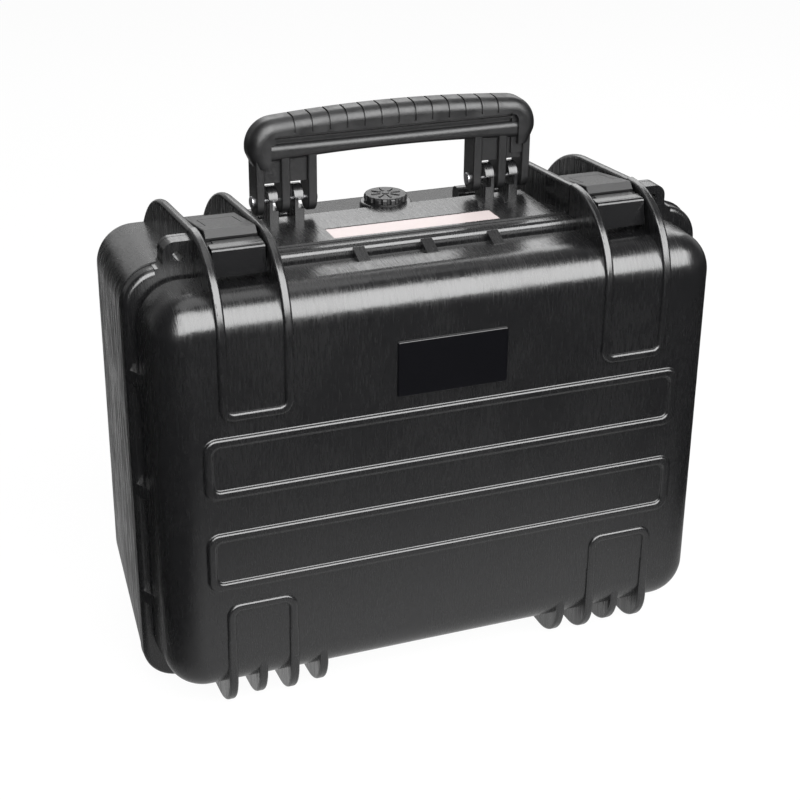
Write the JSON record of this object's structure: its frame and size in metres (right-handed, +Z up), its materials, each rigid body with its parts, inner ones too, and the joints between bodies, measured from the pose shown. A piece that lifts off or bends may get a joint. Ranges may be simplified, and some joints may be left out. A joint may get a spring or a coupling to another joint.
{
  "type": "microphone case",
  "caption": "Hard waterproof carrying case standing on its hinge side, with ribbed lid, fold-down strap handle, draw latches, purge valve and foam pockets for microphones.",
  "frame": {"origin": "on the standing surface, under the middle of the case's width and overall depth", "axes": "+X to the right seen from the lid, +Y from the lid to the back of the base, +Z up to the handle"},
  "size_m": [0.417, 0.205, 0.3897],
  "materials": {
    "case_plastic": "satin",
    "trim_plastic": "satin",
    "grip_rubber": "matte",
    "seal_rubber": "matte",
    "badge_gloss": "gloss",
    "label_plate": "satin",
    "steel": "satin",
    "membrane": "matte",
    "foam": "matte"
  },
  "bodies": {
    "base": {"base_shell": "case_plastic", "name_plate": "label_plate", "valve_body": "trim_plastic", "valve_nut": "trim_plastic", "valve_o_ring": "seal_rubber", "valve_membrane": "membrane", "base_foam": "foam", "base_pad": "foam", "hinge_pin_left": "steel", "hinge_pin_right": "steel", "latch_pin_left": "steel", "latch_pin_right": "steel", "handle_pin_left": "steel", "handle_pin_right": "steel"},
    "lid": {"lid_shell": "case_plastic", "lid_seal": "seal_rubber", "badge": "badge_gloss", "lid_foam": "foam"},
    "handle": {"handle_core": "trim_plastic", "handle_grip": "grip_rubber"},
    "latch_left": {"latch_body_left": "trim_plastic", "lever_pin_left": "steel"},
    "latch_right": {"latch_body_right": "trim_plastic", "lever_pin_right": "steel"},
    "trigger_left": {"latch_lever_left": "trim_plastic", "latch_spring_left": "steel"},
    "trigger_right": {"latch_lever_right": "trim_plastic", "latch_spring_right": "steel"},
    "purge_knob": {"valve_knob": "trim_plastic"}
  },
  "joints": [
    {"name": "lid_hinge", "type": "hinge", "parent": "base", "child": "lid", "pos_m": [0, -0.031, 0.006], "axis": [1, 0, 0], "range_deg": [0, 100]},
    {"name": "handle_fold", "type": "hinge", "parent": "base", "child": "handle", "pos_m": [0, 0.014, 0.328], "axis": [-1, 0, 0], "range_deg": [0, 88]},
    {"name": "purge_knob_turn", "type": "hinge", "parent": "base", "child": "purge_knob", "pos_m": [0, 0.0266, 0.317], "axis": [0, 0, 1], "range_deg": [0, 180]},
    {"name": "latch_left_pivot", "type": "hinge", "parent": "base", "child": "latch_left", "pos_m": [-0.136, -0.005, 0.3205], "axis": [-1, 0, 0], "range_deg": [0, 110]},
    {"name": "trigger_left_pivot", "type": "hinge", "parent": "latch_left", "child": "trigger_left", "pos_m": [-0.136, -0.0555, 0.325], "axis": [-1, 0, 0], "range_deg": [0, 35], "stiffness_Nm_per_rad": 0.05, "springref_deg": -11.46},
    {"name": "latch_right_pivot", "type": "hinge", "parent": "base", "child": "latch_right", "pos_m": [0.136, -0.005, 0.3205], "axis": [-1, 0, 0], "range_deg": [0, 110]},
    {"name": "trigger_right_pivot", "type": "hinge", "parent": "latch_right", "child": "trigger_right", "pos_m": [0.136, -0.0555, 0.325], "axis": [-1, 0, 0], "range_deg": [0, 35], "stiffness_Nm_per_rad": 0.05, "springref_deg": -11.46}
  ]
}
